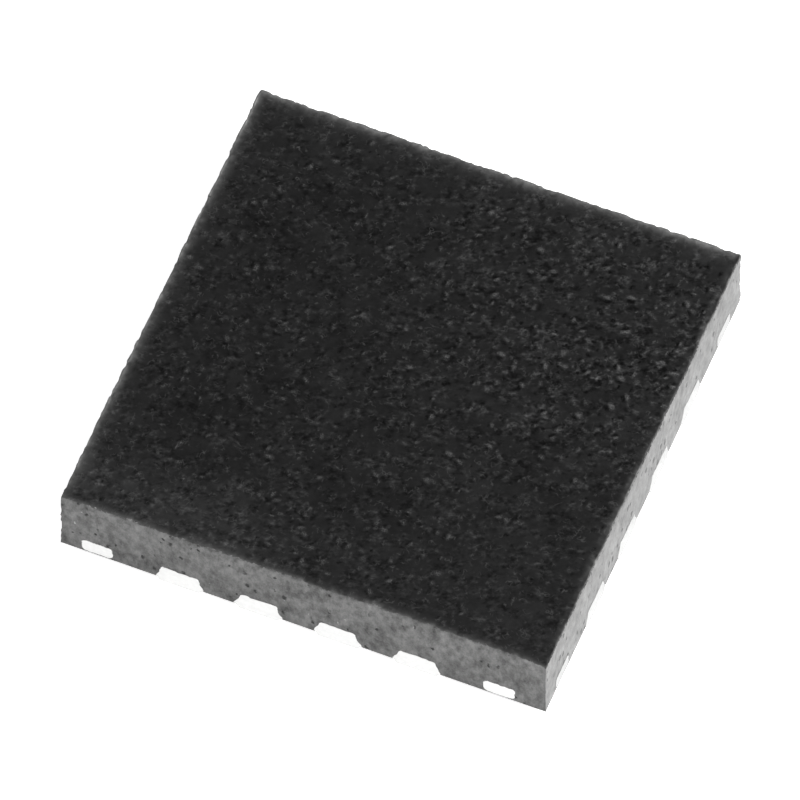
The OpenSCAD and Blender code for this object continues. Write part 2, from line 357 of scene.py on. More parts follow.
def top_grains(points):
    """Grains and pits of the moulded top, each as heights in 0 to 1: two sizes of grains, crowded where a slow noise
    is high, and pits between them, all on coordinates that a quick noise bends."""
    x, y = (points[:, k] + layered(points, [(0.040 * MM, 0.018 * MM, 61 + 2 * k)]) for k in range(2))
    crowd = ease(0.30, 0.70, drift(points, 0.24 * MM, 51))
    large, beside = grains(
        x, y, cell=0.064 * MM, share=0.24 + 0.50 * crowd, long=0.022 * MM, wide=0.0135 * MM, seed=71
    )
    small, _ = grains(x, y, cell=0.042 * MM, share=0.28 + 0.42 * crowd, long=0.018 * MM, wide=0.0115 * MM, seed=81)
    pits, _ = grains(x, y, cell=0.052 * MM, share=0.22 + 0.34 * crowd, long=0.016 * MM, wide=0.010 * MM, seed=91)
    # The hollows beside the larger grains join the pits; their dark colour is later painted as the shadow of those
    # grains
    return np.maximum(large, 0.62 * small), np.maximum(pits, 0.8 * beside)


def mould_relief(s, sharp, out, high, askew, grain, pit):
    """Heights over the mould body: grains less pits, and swells and short bumps about 0, on the moulded top, which
    sinks towards its edges as e^-d; waves on the sawn sides; and chips along the top and upright edges, deepest where
    three noises are high, which fade as e^-d^2. Here d is the distance from the edge over a width."""
    on_top = ease(*FACING, out[:, 2])
    level = np.linalg.norm(out[:, :2], axis=1)
    from_sides = high[:2] - np.abs(sharp[:, :2])
    to_rim, to_corner = from_sides.min(axis=1), from_sides.max(axis=1)
    height = s.nib_height * grain - s.pit_depth * pit
    height += on_top * layered(askew, [(s.swell_size, s.swell_height, 11)])
    height += on_top * s.rough_height * layered(askew, SHORT_BUMPS)
    height -= ease(0.0, 0.6, out[:, 2]) * s.roll_depth * np.exp(-np.maximum(to_rim, 0) / s.roll_width)
    height += ease(*FACING, level) * s.saw_wave * (drift(sharp, s.saw_wave_size, 31) - 1)
    from_edge = np.minimum(np.maximum(to_rim, high[2] - sharp[:, 2]), 1.6 * to_corner)
    breaks = sum(weight * ease(start, full, drift(askew, cell, seed)) for cell, weight, start, full, seed in CHIPS)
    bevel = 2 * np.maximum(np.maximum(out[:, 2], 0) * level, np.abs(out[:, 0] * out[:, 1]))
    return height - s.chip_depth * (breaks - CHIP_MEAN * bevel) * np.exp(-((from_edge / s.chip_reach) ** 2))


def top_shades(u, v):
    """The painted shading of the moulded top, lighter where more light falls, and how lively its shades are, where u
    and v run from -1 to 1, to the right and to the back. The painted light grows evenly to the right, by eased steps
    to the front left and to the back, and as e^-d by the left edge. The shades are livelier past eased steps to the
    right and back, and in a patch as e^-r^2."""
    front_left = ease(0.62, 0.92, -v) * (0.12 + 0.70 * ease(0.0, 0.35, -u))
    painted_shading = 1 + 0.13 * u + front_left + 0.24 * ease(0.66, 1.0, v) + 0.50 * np.exp(-9 * (1 + u))
    lively = 0.84 + 0.26 * ease(-0.35, 0.30, u) * ease(-0.45, 0.05, v)
    patch = ((u - 0.72) ** 2 + (v - 0.38) ** 2) / 0.07
    return painted_shading, lively + 0.38 * np.exp(-patch)


def mould_wear_and_painted_light(s, sharp, out, low, high, askew):
    """What sawing did to the mould body, and the light painted on it, for each point: its share of sawn surface,
    which grows past a line that wanders along the top edges; its share of painted rim sheen, where the rims catch the
    bright surround, which falls as e^-d, where d is the distance inside that line over each side's own width; its
    painted shading, lighter or darker by where light falls; and how lively its shades are."""
    u, v = (sharp[:, :2] / high[:2]).T
    at_right = ease(0.97, 1.0, u)
    line = s.tear_inset - s.tear_right * at_right + s.tear * layered(askew, TORN_LINE)
    inside = np.concatenate([sharp[:, :2] - low[:2], high[:2] - sharp[:, :2]], axis=1)
    # Painted sheen: paler edges where the top's rims catch the bright surround, fading inwards from the torn line
    beyond = np.maximum(inside - line[:, None], 0) / (s.sheen_width * SHEEN_WIDTHS)
    sheen_painted = (out[:, 2] > 0) * (SHEEN_STRENGTHS * np.exp(-beyond)).max(axis=1)
    to_rim = (high[:2] - np.abs(sharp[:, :2])).min(axis=1)
    past = line - np.maximum(to_rim, 0) + (high[2] - sharp[:, 2])
    underneath = ease(0.50, 0.92, -out[:, 2])
    sawn = np.clip(0.5 + past / (s.tear_blend + s.tear_blend_right * at_right), 0, 1) * (1 - underneath)
    # Painted shading: front and back lighter towards the top, left and right brighter and darker towards the top, and
    # the top as top_shades paints it
    rise = (sharp[:, 2] - low[2]) / (high[2] - low[2])
    facing_x = ease(0.4, 0.6, np.abs(out[:, 0]))
    painted_shading = (0.86 + 0.22 * rise) * (1 - facing_x) + (1.17 - 0.12 * rise) * facing_x
    top_shading, lively = top_shades(u, v)
    painted_shading += ease(*FACING, out[:, 2]) * (top_shading - painted_shading)
    return {"sawn": sawn, "sheen_painted": sheen_painted, "painted_shading": painted_shading, "lively": lively}


def mould_skin(s):
    """The mould body: a rounded box whose points are moved outwards by the heights of its relief, and kept inside the
    CAD's box. Gives points, faces and numbers for each point: those of its wear and painted light, and its share of
    grain and of pit, which are stronger where the shades are lively."""
    box = np.array([list(c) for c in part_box("mould_body")])
    low, high = box.copy()
    low[:2] += s.inset
    high[:2] -= s.inset
    high[2] -= GRAIN_ROOM * s.nib_height + (s.swell_height + s.rough_height) / 2
    sharp, faces = box_skin(low, high, s.edge_radius, (s.step, s.step, s.step_up))
    points, out = rounded(sharp, low, high, s.foot_radius, s.edge_radius)
    askew = sharp @ Matrix.Rotation(SKEW, 3, "Z")
    grain, pit = (ease(*FACING, out[:, 2]) * field for field in top_grains(sharp))
    height = mould_relief(s, sharp, out, high, askew, grain, pit)
    fields = mould_wear_and_painted_light(s, sharp, out, low, high, askew)
    fields |= {"grain": grain * fields["lively"], "pit": pit * fields["lively"]}
    return np.clip(points + out * height[:, None], *box), faces, fields


def lead_section(s, top):
    """Half-width of a lead at rising heights: a rounded foot, straight out to the ridge, in along a hollow flank by a
    power of the way up, and a bevel."""
    bevel_at = top - s.bevel
    foot = s.foot * (1 - np.cos(np.linspace(0, np.pi / 2, 5)))
    runs = ((s.foot, s.ridge_height, 6), (s.ridge_height, bevel_at, 12), (bevel_at, top, 3))
    z = np.concatenate([foot] + [np.linspace(start, end, count + 1)[1:] for start, end, count in runs])
    below = (s.land + (s.ridge - s.land) * z / s.ridge_height) / 2
    way = np.clip((bevel_at - z) / (bevel_at - s.ridge_height), 0, 1)
    above = (s.top + (s.ridge - s.top) * way**s.hollow) / 2 - np.maximum(z - bevel_at, 0)
    lift = 1 - np.minimum(z / s.foot, 1)
    return z, np.where(z < s.ridge_height, below, above) - s.foot * (1 - np.sqrt(1 - lift**2))


def lead_skin(s, name):
    """A lead: the outline of a bar with a sawn end and a round inner end, carried up through the heights of its
    section, which give its width. Noises drag the sawn end's outline about. Gives points, faces and the places of
    the flat faces in that list."""
    pin = int(name[-2:])
    angle = math.radians(90 * ((pin - 1) // ROW - 1))
    turned = np.array([[math.cos(angle), -math.sin(angle)], [math.sin(angle), math.cos(angle)]])
    box = np.array([list(c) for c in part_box(name)])
    ends = box[:, :2] @ turned
    (left, face), (right, inner) = ends.min(axis=0), ends.max(axis=0)
    z, half = lead_section(s, box[1, 2])
    bend = inner - s.tip - s.ridge / 2
    reach = half + (s.tip + s.ridge / 2 - half) * ease(s.tip_height - s.tip_blend, s.tip_height, z)
    across = np.linspace(-1, 1, LEAD_ACROSS + 1)[:-1]
    back = (bend - face) * np.linspace(0, 1, LEAD_ALONG + 1)[:-1] ** LEAD_CROWD
    sweep = np.linspace(0, np.pi, LEAD_ROUND + 1)[:-1]
    forth = (bend - face) * np.linspace(1, 0, LEAD_ALONG + 1)[:-1] ** LEAD_CROWD
    side = np.concatenate([across, np.ones(len(back)), np.cos(sweep), -np.ones(len(forth))])
    way = np.concatenate([0 * across, back, 0 * sweep + bend - face, forth])
    round_end = np.concatenate([0 * across, 0 * back, np.sin(sweep), 0 * forth])
    x = half[:, None] * side
    y = face + way + reach[:, None] * round_end
    grid = np.stack(np.broadcast_arrays(x, y, z[:, None]), -1)
    on_face = grid * np.array([1, 0, 1]) + pin * MM
    near = s.smear * np.exp(-np.maximum(y - face, 0) / s.smear_depth)
    for axis, share in ((0, 1.0), (2, grid[..., 2] / box[1, 2])):
        drag = layered(on_face, ((0.040 * MM, 1.0, 201 + axis), (0.017 * MM, 0.6, 211 + axis)))
        grid[..., axis] += near * share * drag
    grid[..., 0] += (left + right) / 2
    grid[..., :2] = grid[..., :2] @ turned.T
    at = np.arange(grid[..., 0].size).reshape(grid.shape[:2])
    faces = ladder(at[:-1], at[1:]) + [at[0, ::-1].tolist(), at[-1].tolist()]
    sawn = at[:-1, :LEAD_ACROSS].ravel().tolist()
    return grid.reshape(-1, 3), faces, [*sawn, len(faces) - 2, len(faces) - 1]


# Shader nodes


def node(tree, kind, **settings):
    """A new node with its properties set."""
    made = tree.nodes.new(kind)
    for key, value in settings.items():
        setattr(made, key, value)
    return made


def feed(tree, socket, value):
    """Links an output to a socket, or sets the socket to a constant."""
    if isinstance(value, bpy.types.NodeSocket):
        tree.links.new(value, socket)
    else:
        socket.default_value = value


def calc(tree, operation, *values, clamp=False):
    """Output of a Math node."""
    made = node(tree, "ShaderNodeMath", operation=operation, use_clamp=clamp)
    for socket, value in zip(made.inputs, values):
        feed(tree, socket, value)
    return made.outputs[0]


def product(tree, first, *others):
    """Numbers multiplied together."""
    for other in others:
        first = calc(tree, "MULTIPLY", first, other)
    return first


def remap(tree, value, low, high, to_low=0.0, to_high=1.0, smooth=True):
    """Output of a Map Range node."""
    made = node(tree, "ShaderNodeMapRange", interpolation_type="SMOOTHSTEP" if smooth else "LINEAR")
    for socket, number in zip(made.inputs[:5], (value, low, high, to_low, to_high)):
        feed(tree, socket, number)
    return made.outputs[0]


def blend(tree, share, a, b):
    """Colour mixed from a to b."""
    made = node(tree, "ShaderNodeMix", data_type="RGBA")
    feed(tree, made.inputs["Factor"], share)
    for socket, value in ((made.inputs[6], a), (made.inputs[7], b)):
        feed(tree, socket, value if isinstance(value, bpy.types.NodeSocket) else (*value, 1.0))
    return made.outputs[2]


def shaded(tree, tint, share):
    """Colour times a number."""
    made = node(tree, "ShaderNodeMix", data_type="RGBA", blend_type="MULTIPLY")
    made.inputs["Factor"].default_value = 1.0
    made.inputs[6].default_value = (*tint, 1.0)
    feed(tree, made.inputs[7], share)
    return made.outputs[2]


def scaled(tint, share):
    """A plain colour times a number."""
    return tuple(min(1.0, c * share) for c in tint)


def mix_value(tree, share, a, b):
    """Number mixed from a to b."""
    made = node(tree, "ShaderNodeMix", data_type="FLOAT")
    for socket, value in zip((made.inputs[0], made.inputs[2], made.inputs[3]), (share, a, b)):
        feed(tree, socket, value)
    return made.outputs[0]


def noise(tree, where, scale, detail=2.0, roughness=0.5):
    """Fac of a Noise Texture."""
    made = node(tree, "ShaderNodeTexNoise")
    for name, value in (("Vector", where), ("Scale", scale), ("Detail", detail), ("Roughness", roughness)):
        feed(tree, made.inputs[name], value)
    return made.outputs["Fac"]


def swing(tree, where, scale, detail=2.0, roughness=0.5):
    """Noise about 0."""
    return calc(tree, "SUBTRACT", noise(tree, where, scale, detail, roughness), 0.5)


def cells(tree, where, scale):
    """Outputs of a Voronoi Texture: distance to the nearest scattered point, and that point's random colour."""
    made = node(tree, "ShaderNodeTexVoronoi", feature="F1")
    feed(tree, made.inputs["Vector"], where)
    feed(tree, made.inputs["Scale"], scale)
    return made.outputs


def parts(tree, kind, value):
    """The three numbers of a vector, as kind XYZ, or of a colour, as kind Color."""
    made = node(tree, f"ShaderNodeSeparate{kind}")
    feed(tree, made.inputs[0], value)
    return made.outputs


def stretched(tree, where, scale, heading=0.0):
    """Coordinates through a Mapping node, to stretch a pattern along a heading about Z."""
    made = node(tree, "ShaderNodeMapping", vector_type="TEXTURE")
    feed(tree, made.inputs["Vector"], where)
    made.inputs["Rotation"].default_value = (0.0, 0.0, heading)
    made.inputs["Scale"].default_value = tuple(1 / k for k in scale)
    return made.outputs["Vector"]


def bent(tree, where, mm, scale, reach):
    """Coordinates moved about, by a noise of that scale times `reach`."""
    wander = node(tree, "ShaderNodeTexNoise")
    feed(tree, wander.inputs["Vector"], mm)
    wander.inputs["Scale"].default_value = scale
    made = node(tree, "ShaderNodeVectorMath", operation="MULTIPLY_ADD")
    feed(tree, made.inputs[0], wander.outputs["Color"])
    made.inputs[1].default_value = (reach, reach, reach)
    feed(tree, made.inputs[2], where)
    return made.outputs[0]


def millimetres(tree):
    """Object coordinates in millimetres."""
    place = node(tree, "ShaderNodeTexCoord")
    made = node(tree, "ShaderNodeVectorMath", operation="SCALE")
    feed(tree, made.inputs[0], place.outputs["Object"])
    made.inputs["Scale"].default_value = 1 / MM
    return made.outputs[0]


def attribute(tree, name):
    """A number that the piece's mesh carries at its points."""
    return node(tree, "ShaderNodeAttribute", attribute_name=name).outputs["Fac"]


def shared_group(name, wire, output, **numbers):
    """The shader group of that name, wired when first asked for: a vector and numbers in, with their defaults, and
    one number out. Underscores in names stand for spaces."""
    tree = bpy.data.node_groups.get(name)
    if tree is None:
        tree = bpy.data.node_groups.new(name, "ShaderNodeTree")
        tree.interface.new_socket("Vector", in_out="INPUT", socket_type="NodeSocketVector")
        for label, default in numbers.items():
            label = label.replace("_", " ")
            tree.interface.new_socket(label, in_out="INPUT", socket_type="NodeSocketFloat").default_value = default
        tree.interface.new_socket(output, in_out="OUTPUT", socket_type="NodeSocketFloat")
        given, result = node(tree, "NodeGroupInput").outputs, node(tree, "NodeGroupOutput").inputs
        feed(tree, result[output], wire(tree, given))
    return tree


def cell_relief_group():
    """Dents side by side: squared distance to the nearest scattered point, deeper in some dents than in others, and
    the same at about half the size."""
    def wire(tree, given):
        large, small = (
            cells(tree, given["Vector"], product(tree, given["Dents per mm"], factor)) for factor in (1.0, 1.9)
        )
        depth = calc(tree, "MULTIPLY_ADD", parts(tree, "Color", large["Color"])[0], 1.3, 0.5)
        deep = product(tree, calc(tree, "POWER", large["Distance"], 2.0), depth)
        return calc(tree, "ADD", deep, product(tree, calc(tree, "POWER", small["Distance"], 2.0), 0.35))
    return shared_group("Dented relief", wire, "Height", Dents_per_mm=30.0)


def grains_group():
    """Loose round grains: a soft disc round each of a share of scattered points."""
    def wire(tree, given):
        found = cells(tree, given["Vector"], given["Places per mm"])
        chance, bigness, _ = parts(tree, "Color", found["Color"])
        chosen = calc(tree, "LESS_THAN", chance, given["Share"])
        size = product(tree, given["Radius"], calc(tree, "ADD", bigness, 0.45))
        disc = remap(tree, found["Distance"], size, calc(tree, "ADD", size, given["Softness"]), 1.0, 0.0)
        return product(tree, chosen, disc)
    return shared_group("Scattered grains", wire, "Mask", Places_per_mm=20.0, Share=0.3, Radius=0.25, Softness=0.1)


def glint_edges_group():
    """Short bright edges of flakes, painted as glints: where one noise passes its middle value, kept where another
    noise is high.
    """
    def wire(tree, given):
        off_middle = calc(tree, "ABSOLUTE", swing(tree, given["Vector"], given["Flakes per mm"], detail=1.0))
        kept = noise(tree, given["Vector"], product(tree, given["Flakes per mm"], 0.83), detail=1.0)
        return product(tree, remap(tree, off_middle, 0.005, 0.050, 1.0, 0.0), remap(tree, kept, 0.54, 0.70))
    return shared_group("Painted glint edges", wire, "Mask", Flakes_per_mm=30.0)


def smear_group():
    """Resin dragged in over a sawn metal end: outside of a round cornered box, on coordinates that noise bends."""
    def wire(tree, given):
        radius = product(tree, given["Half height"], 0.55)
        squares = []
        for place, half, scale in (("Along", "Half width", 27.0), ("Up", "Half height", 31.0)):
            drag = swing(tree, given["Vector"], scale, detail=3.0, roughness=0.6)
            moved = calc(tree, "ADD", given[place], product(tree, drag, given["Smear"]))
            inner = calc(tree, "SUBTRACT", given[half], radius)
            beyond = calc(tree, "SUBTRACT", calc(tree, "ABSOLUTE", moved), inner)
            squares.append(calc(tree, "POWER", calc(tree, "MAXIMUM", beyond, 0.0), 2.0))
        away = calc(tree, "SUBTRACT", calc(tree, "SQRT", calc(tree, "ADD", *squares)), radius)
        return remap(tree, away, -0.005, 0.001)
    return shared_group(
        "Smeared outline", wire, "Mask", Along=0.0, Up=0.0, Half_width=0.0, Half_height=0.0, Smear=0.0
    )


def saw_group():
    """Fine lines that a saw blade leaves along its way: noise that is long across and short up the face."""
    def wire(tree, given):
        long_way = stretched(tree, given["Vector"], (0.05, 0.05, 1.0))
        return noise(tree, long_way, given["Lines per mm"], detail=3.0, roughness=0.6)
    return shared_group("Saw marks", wire, "Height", Lines_per_mm=60.0)


def placed(tree, group, **inputs):
    """Output of a group node with its inputs fed, named as above."""
    made = node(tree, "ShaderNodeGroup", node_tree=group)
    for name, value in inputs.items():
        feed(tree, made.inputs[name.replace("_", " ")], value)
    return made.outputs[0]


def bumped(tree, height, depth):
    """Normal of a Bump node whose full height is `depth` metres."""
    made = node(tree, "ShaderNodeBump")
    made.inputs["Strength"].default_value = 1.0
    made.inputs["Distance"].default_value = depth
    feed(tree, made.inputs["Height"], height)
    return made.outputs["Normal"]


def new_material(name):
    """A material with a Principled BSDF; gives it, its tree, the shader's inputs and coordinates in millimetres."""
    made = bpy.data.materials.new(name)
    made.use_nodes = True
    tree = made.node_tree
    return made, tree, tree.nodes["Principled BSDF"].inputs, millimetres(tree)


# Finishes


def moulded_look(tree, mm, s):
    """The resin's moulded skin: dark shades that spread as powers of e, times painted shading; pale flake edges and
    grains, partly painted glints; pits darkened by painted shade; painted sheen along the rims. Gives its colour,
    roughness and height."""
    along = stretched(tree, mm, (0.80, 1.0, 1.0), heading=0.39)
    break_up = remap(tree, noise(tree, mm, 120.0, roughness=0.6), 0.30, 0.70, 0.30, 1.40, smooth=False)
    grain = remap(tree, product(tree, attribute(tree, "grain"), break_up), 0.10, 1.15)
    pit = remap(tree, product(tree, attribute(tree, "pit"), break_up), 0.08, 0.80)
    fine = noise(tree, mm, 150.0)
    busy = remap(tree, noise(tree, along, 11.0), 0.40, 0.62, 0.22, 1.40)
    spread = product(tree, attribute(tree, "lively"), s.resin_spread)
    quick_shade = product(tree, swing(tree, along, 29.0, detail=2.4, roughness=0.66), busy, spread)
    shade = calc(tree, "ADD", quick_shade, product(tree, swing(tree, mm, 5.0), 0.9))
    # The skin's shades times its painted shading, lighter or darker by where light falls
    tint = shaded(tree, s.resin, product(tree, calc(tree, "EXPONENT", shade), attribute(tree, "painted_shading")))
    # Flake edges and raised grains in the pale fleck colour, partly painted glints
    flakes = placed(tree, glint_edges_group(), Vector=mm, Flakes_per_mm=26.0)
    tint = blend(tree, product(tree, flakes, 0.30), tint, s.fleck_and_glint)
    tint = blend(tree, grain, tint, s.fleck_and_glint)
    # Pits and the hollows beside the larger grains, darkened as painted shade
    tint = blend(tree, pit, tint, s.pit_shade)
    # Painted sheen along the top edges, where the rims catch the bright surround, in patches
    patchy = remap(tree, noise(tree, mm, 30.0, detail=3.0), 0.30, 0.70, 0.65, 1.30, smooth=False)
    tint = blend(tree, calc(tree, "MULTIPLY", attribute(tree, "sheen_painted"), patchy, clamp=True), tint, s.sheen_painted)
    height = calc(tree, "ADD", product(tree, fine, 0.22), product(tree, grain, 0.35))
    return tint, remap(tree, fine, 0.3, 0.7, 0.60, 0.72), height


def sawn_look(tree, mm, s):
    """The sawn resin: cloudy grey with saw lines, pale cut grains and dark pits where grains were torn out, all wiped
    fainter on the left and right sides. Gives its colour and height."""
    tall = stretched(tree, mm, (1.0, 1.0, 0.60))
    lines = placed(tree, saw_group(), Vector=mm, Lines_per_mm=46.0)
    loose = bent(tree, tall, mm, scale=38.0, reach=0.030)
    torn = placed(tree, grains_group(), Vector=loose, Places_per_mm=17.0, Share=0.42, Radius=0.16, Softness=0.14)
    cut = placed(tree, grains_group(), Vector=loose, Places_per_mm=21.0, Share=0.042, Radius=0.13, Softness=0.12)
    cloud = noise(tree, tall, 21.0, detail=5.0, roughness=0.73)
    mottled = remap(tree, cloud, 0.26, 0.74, 0.38, 1.54, smooth=False)
    mottled = calc(tree, "ADD", mottled, product(tree, lines, 0.06))
    mottled = calc(tree, "ADD", mottled, remap(tree, noise(tree, tall, 7.0), 0.3, 0.7, -0.18, 0.18, smooth=False))
    edge = CAD_BOX[1].x / MM
    aside = remap(tree, calc(tree, "ABSOLUTE", parts(tree, "XYZ", mm)[0]), edge - 0.020, edge - 0.008)
    mottled = mix_value(tree, product(tree, aside, 0.45), mottled, 0.98)
    torn = mix_value(tree, aside, torn, remap(tree, torn, 0.40, 1.10))
    # Painted shading: front and back lighter towards the top, left and right brighter, and darker towards the top
    tint = shaded(tree, s.sawn, product(tree, mottled, attribute(tree, "painted_shading")))
    tint = blend(tree, product(tree, cut, 0.85), tint, s.sawn_pale)
    tint = blend(tree, product(tree, torn, mix_value(tree, aside, 0.88, 0.58)), tint, s.sawn_dark)
    height = calc(tree, "ADD", product(tree, lines, 0.4), product(tree, cloud, 0.7))
    return tint, calc(tree, "SUBTRACT", height, product(tree, torn, 1.2))


def mould_finish(s):
    """Black filled resin: a grainy, matt moulded skin that gives way to grey sawn sides along a ragged line."""
    material, tree, shader, mm = new_material("moulded and sawn resin")
    ragged = calc(tree, "MULTIPLY_ADD", noise(tree, mm, 64.0, detail=3.0, roughness=0.6), 1.2, -0.60)
    sawn = remap(tree, calc(tree, "ADD", attribute(tree, "sawn"), ragged), 0.41, 0.59)
    skin_tint, skin_rough, skin_height = moulded_look(tree, mm, s)
    side_tint, side_height = sawn_look(tree, mm, s)
    feed(tree, shader["Base Color"], blend(tree, sawn, skin_tint, side_tint))
    shader["Specular IOR Level"].default_value = 0.05
    feed(tree, shader["Roughness"], mix_value(tree, sawn, skin_rough, SAWN_ROUGHNESS))
    feed(tree, shader["Normal"], bumped(tree, mix_value(tree, sawn, skin_height, side_height), 0.0042 * MM))
    return material


def tie_resin(tree, mm, place, aside, s):
    """Share of resin that the saw has dragged over the tie bar ends, which lie about the leadframe's own middle."""
    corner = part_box("die_paddle")[1] / MM
    rows = [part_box(LEADS[k]) for k in (0, ROW - 1, ROW, 2 * ROW - 1)]
    middle = ((rows[2][0].x + rows[3][1].x) / 2 / MM, (rows[0][1].y + rows[1][0].y) / 2 / MM)
    away = [calc(tree, "ABSOLUTE", calc(tree, "SUBTRACT", place[k], middle[k])) for k in range(2)]
    along = calc(tree, "SUBTRACT", mix_value(tree, aside, *away), corner.x - s.tie_inset / MM)
    half_height = s.tie_thickness / MM / 2
    up = calc(tree, "SUBTRACT", place[2], corner.z - half_height)
    dragged = placed(
        tree, smear_group(), Vector=mm, Along=along, Up=up, Half_width=s.tie_width / MM / 2,
        Half_height=half_height, Smear=s.tie_smear / MM,
    )
    return product(tree, dragged, calc(tree, "GREATER_THAN", along, -s.tie_width / MM))


def leadframe_finish(s):
    """Plated copper: fine matt grain on the lands, smeared metal with saw marks on the sawn ends, darkened towards
    the floor as a painted contact shadow and dimmed by painted shade on the left and right, and resin dragged over
    the tie bar ends."""
    name = "plated leadframe"
    if name in bpy.data.materials:
        return bpy.data.materials[name]
    material, tree, shader, mm = new_material(name)
    place = parts(tree, "XYZ", mm)
    size = [calc(tree, "ABSOLUTE", place[k]) for k in range(2)]
    edge = CAD_BOX[1].x / MM
    end = remap(tree, calc(tree, "MAXIMUM", *size), edge - 0.004, edge - 0.001)
    aside = calc(tree, "GREATER_THAN", *size)
    lines = placed(tree, saw_group(), Vector=mm, Lines_per_mm=70.0)
    grain = placed(tree, cell_relief_group(), Vector=mm, Dents_per_mm=110.0)
    cloud = noise(tree, mm, 9.0, detail=4.0)
    plated = blend(tree, remap(tree, cloud, 0.35, 0.7), s.plating, scaled(s.plating, 0.88))
    # Painted contact shadow: the sawn ends darker towards the floor
    foot = remap(tree, place[2], 0.003, 0.018, 0.92, 1.0)
    smear = remap(tree, noise(tree, mm, 30.0, detail=3.0, roughness=0.6), 0.3, 0.7, 0.95, 1.04, smooth=False)
    # Painted shade: the sawn ends on the left and right are dimmed, to tone down the light they catch
    bright = shaded(tree, s.sawn_metal, product(tree, foot, smear, mix_value(tree, aside, 1.0, 0.58)))
    dragged = product(tree, tie_resin(tree, mm, place, aside, s), end)
    metal = blend(tree, end, plated, bright)
    feed(tree, shader["Base Color"], blend(tree, dragged, metal, s.dragged_resin))
    feed(tree, shader["Metallic"], calc(tree, "SUBTRACT", 1.0, dragged))
    rough = mix_value(tree, end, remap(tree, cloud, 0.3, 0.7, 0.30, 0.46), 0.34)
    feed(tree, shader["Roughness"], mix_value(tree, dragged, rough, SAWN_ROUGHNESS))
    feed(tree, shader["Normal"], bumped(tree, mix_value(tree, end, grain, lines), 0.0009 * MM))
    return material


def silicon_finish(s):
    """Polished silicon with saw marks down the diced edges."""
    material, tree, shader, mm = new_material("silicon")
    lines = placed(tree, saw_group(), Vector=mm, Lines_per_mm=90.0)
    feed(tree, shader["Base Color"], blend(tree, noise(tree, mm, 3.0), s.silicon, scaled(s.silicon, 1.3)))
    shader["Metallic"].default_value = 0.6
    feed(tree, shader["Roughness"], remap(tree, lines, 0.3, 0.7, 0.12, 0.22))
    feed(tree, shader["Normal"], bumped(tree, lines, 0.0002 * MM))
    return material


def adhesive_finish(s):
    """Epoxy full of silver flakes."""
    material, tree, shader, mm = new_material("silver filled adhesive")
    flakes = placed(tree, grains_group(), Vector=mm, Places_per_mm=120.0, Share=0.6, Radius=0.4)
    feed(tree, shader["Base Color"], blend(tree, flakes, scaled(s.adhesive, 0.6), s.adhesive))
    feed(tree, shader["Metallic"], product(tree, flakes, 0.9))
    feed(tree, shader["Roughness"], remap(tree, flakes, 0.0, 1.0, 0.6, 0.35))
    feed(tree, shader["Normal"], bumped(tree, flakes, 0.0006 * MM))
    return material


def gold_finish(s):
    """Drawn gold wire."""
    material, tree, shader, mm = new_material("gold wire")
    grain = noise(tree, mm, 160.0, detail=3.0)
    feed(tree, shader["Base Color"], blend(tree, grain, s.gold, scaled(s.gold, 0.85)))
    shader["Metallic"].default_value = 1.0
    feed(tree, shader["Roughness"], remap(tree, grain, 0.3, 0.7, 0.16, 0.30))
    feed(tree, shader["Normal"], bumped(tree, grain, 0.0003 * MM))
    return material


def floor_finish(s):
    """Matt pale board with a trace of tooth, lit from within."""
    material, tree, shader, mm = new_material("pale floor")
    tooth = noise(tree, mm, 1.5, detail=3.0)
    feed(tree, shader["Base Color"], blend(tree, tooth, s.floor, scaled(s.floor, 1.01)))
    shader["Roughness"].default_value = 0.9
    shader["Specular IOR Level"].default_value = 0.1
    shader["Emission Color"].default_value = (1.0, 1.0, 1.0, 1.0)
    shader["Emission Strength"].default_value = s.floor_glow
    return material


def dress(nodes, material):
    """Gives CAD nodes a finish in place of their plain one."""
    for name in nodes:
        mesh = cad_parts[name].data
        mesh.materials.clear()
        mesh.materials.append(material)


# Stage


def lay_floor(s):
    """A flat square floor just under the lands."""
    half, under = FLOOR_HALF, -0.001 * MM
    corners = [(-half, -half, under), (half, -half, under), (half, half, under), (-half, half, under)]
    mesh = bpy.data.meshes.new("floor")
    mesh.from_pydata(corners, [], [(0, 1, 2, 3)])
    mesh.materials.append(floor_finish(s))
    new_object("floor", mesh)


def paint_sky(s):
    """A surround that is bright near the horizon and dimmer overhead."""
    world = bpy.data.worlds.new("surround")
    bpy.context.scene.world = world
    world.use_nodes = True
    tree = world.node_tree
    up = parts(tree, "XYZ", node(tree, "ShaderNodeTexCoord").outputs["Generated"])[2]
    sky = tree.nodes["Background"].inputs
    feed(tree, sky["Strength"], remap(tree, up, 0.36, 0.70, s.sky_low, s.sky_high))
    sky["Color"].default_value = (1.0, 1.0, 1.0, 1.0)


def outwards(azimuth, elevation):
    """Direction out from the chip, at an angle round it from straight in front and an angle above the floor."""
    level = math.cos(elevation)
    return Vector((math.sin(azimuth) * level, -math.cos(azimuth) * level, math.sin(elevation)))


def hang_light(s):
    """A square soft light that looks at the chip from the right."""
    data = bpy.data.lights.new("key", "AREA")
    data.shape = "SQUARE"
    data.size = s.key_size
    data.energy = s.key_power
    light = new_object("key", data)
    back = outwards(s.key_azimuth, s.key_elevation)
    light.location = back * s.key_distance
    light.rotation_euler = back.to_track_quat("Z", "Y").to_euler()


def place_camera(s):
    """A long lens at the photograph's angle."""
    data = bpy.data.cameras.new("camera")
    data.sensor_width = 36.0
    data.lens = s.lens
    data.clip_start, data.clip_end = 0.001, 10.0
    camera = new_object("camera", data)
    back = outwards(s.azimuth, s.elevation)
    turned = (-back).to_track_quat("-Z", "Y").to_matrix().to_4x4()
    camera.matrix_world = Matrix.Translation(Vector(s.aim) + back * s.distance) @ turned
    bpy.context.scene.camera = camera


# Operators


